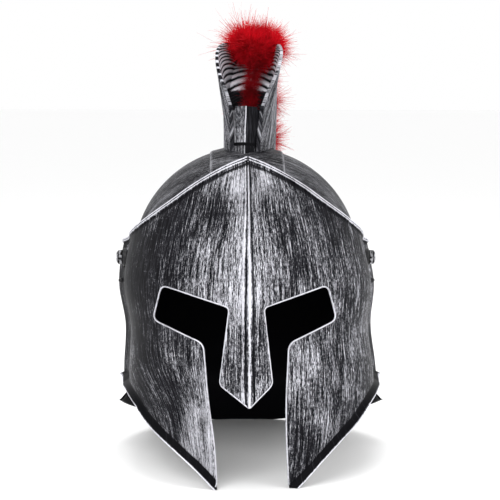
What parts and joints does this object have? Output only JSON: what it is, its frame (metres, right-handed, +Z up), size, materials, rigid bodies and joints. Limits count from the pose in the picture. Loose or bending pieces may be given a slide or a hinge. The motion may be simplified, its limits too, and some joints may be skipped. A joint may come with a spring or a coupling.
{
  "type": "plumed roman helmet",
  "caption": "Costume helmet with a pivoting face visor, flared neck guard, hollow ribbed crest trough and red feather plume.",
  "frame": {"origin": "middle of the bounding box on the surface that the helmet stands on", "axes": "+Z up, the face looks along -Y, the wearer's left is +X; the helmet leans back by 6.6 degrees, as it stands"},
  "size_m": [0.2422, 0.3228, 0.3953],
  "materials": {
    "brushed_plastic": "moulded black plastic with dry-brushed silver streaks, semi-gloss",
    "smoked_plastic": "moulded black plastic with a softer, finely brushed grey finish",
    "black_plastic": "plain black",
    "bright_metal": "polished",
    "red_feather": "soft marabou feather"
  },
  "bodies": {
    "skull": {"skull_shell": "smoked_plastic", "crest_shell": "brushed_plastic", "plume": "red_feather", "pivot_screw_left": "bright_metal", "pivot_screw_right": "bright_metal", "pivot_washer_left": "black_plastic", "pivot_washer_right": "black_plastic", "pivot_nut_left": "bright_metal", "pivot_nut_right": "bright_metal"},
    "visor": {"visor": "brushed_plastic", "cheek_peg_left": "black_plastic", "cheek_peg_right": "black_plastic"}
  },
  "joints": [
    {"name": "visor_hinge", "type": "hinge", "parent": "skull", "child": "visor", "pos_m": [-0.00416, 0.00061, 0.1719], "axis": [-1, 0, 0], "range_deg": [0, 14]}
  ]
}
